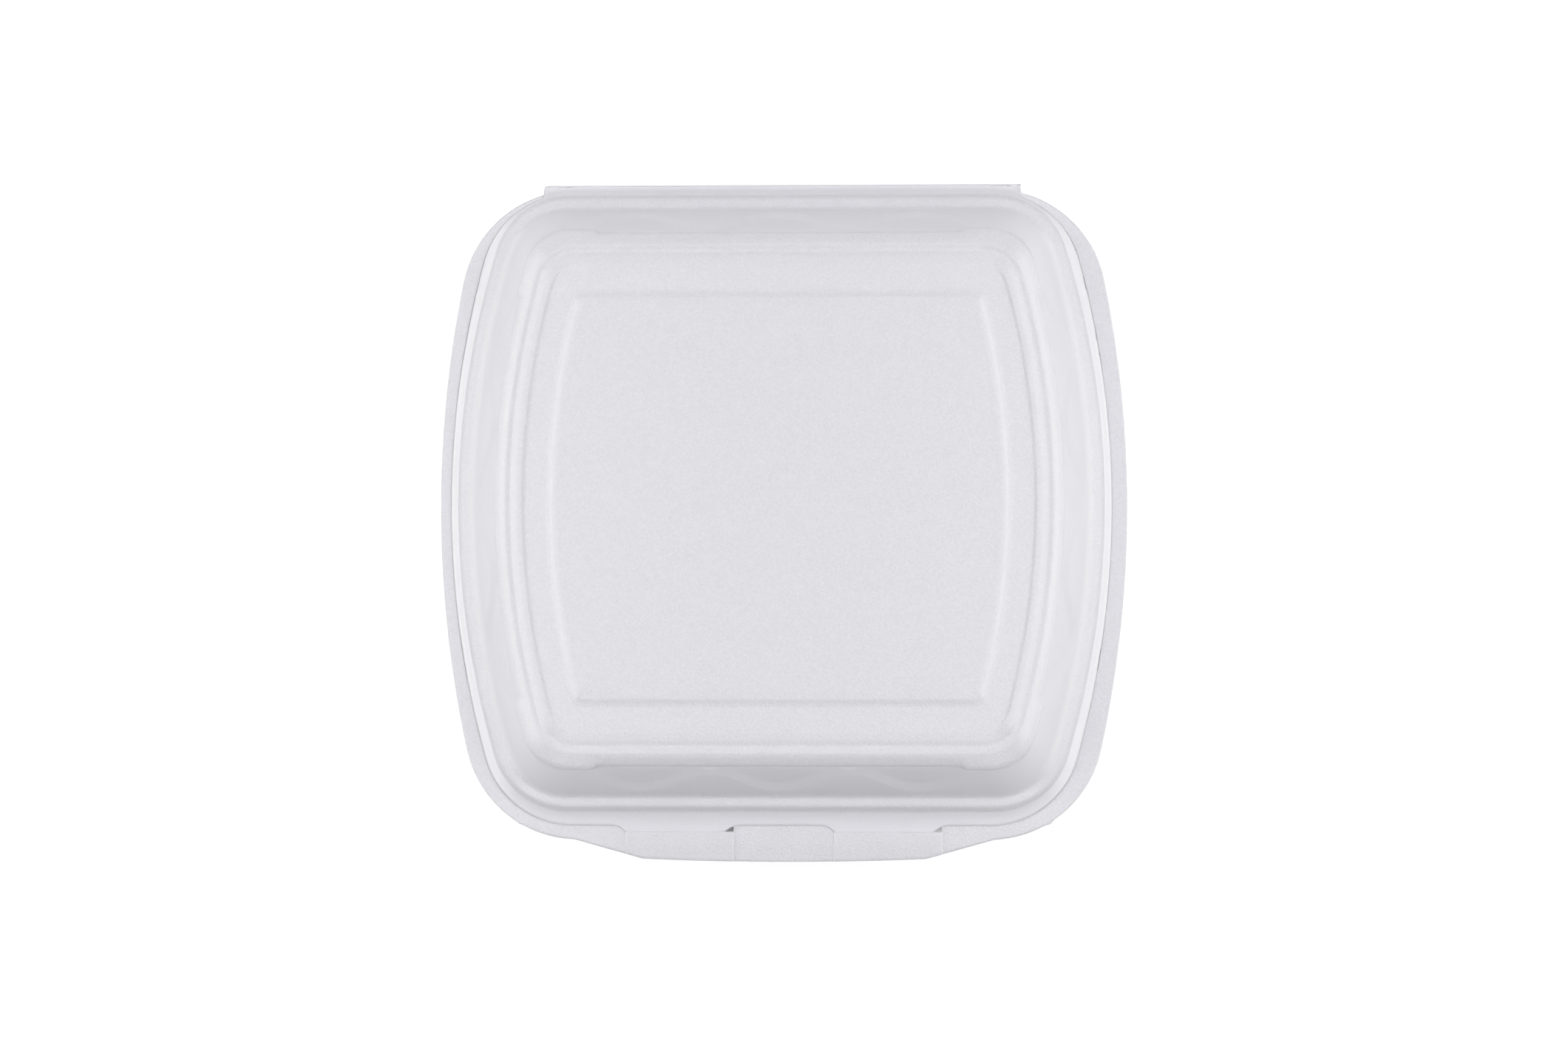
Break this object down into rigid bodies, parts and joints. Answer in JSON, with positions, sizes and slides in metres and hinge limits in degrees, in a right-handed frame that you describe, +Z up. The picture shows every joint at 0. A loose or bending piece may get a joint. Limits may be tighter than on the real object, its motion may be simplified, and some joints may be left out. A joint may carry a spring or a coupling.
{
  "type": "foam clamshell container",
  "caption": "Square foam food container with bowed sides, a raised lid on a back hinge and a tab-and-slot front latch, shown closed.",
  "frame": {"origin": "middle of the tray's flat foot", "axes": "+Z up, +Y towards the hinge at the back, -Y towards the latch, +X to the right seen from the latch"},
  "size_m": [0.24, 0.2373, 0.0732],
  "materials": {
    "foam": "thermoformed white polystyrene foam with a fine cell grain"
  },
  "bodies": {
    "tray": {"base_tray": "foam"},
    "lid": {"lid": "foam"}
  },
  "joints": [
    {"name": "lid_hinge", "type": "hinge", "parent": "tray", "child": "lid", "pos_m": [0, 0.1116, 0.045], "axis": [-1, 0, 0], "range_deg": [0, 180]}
  ]
}
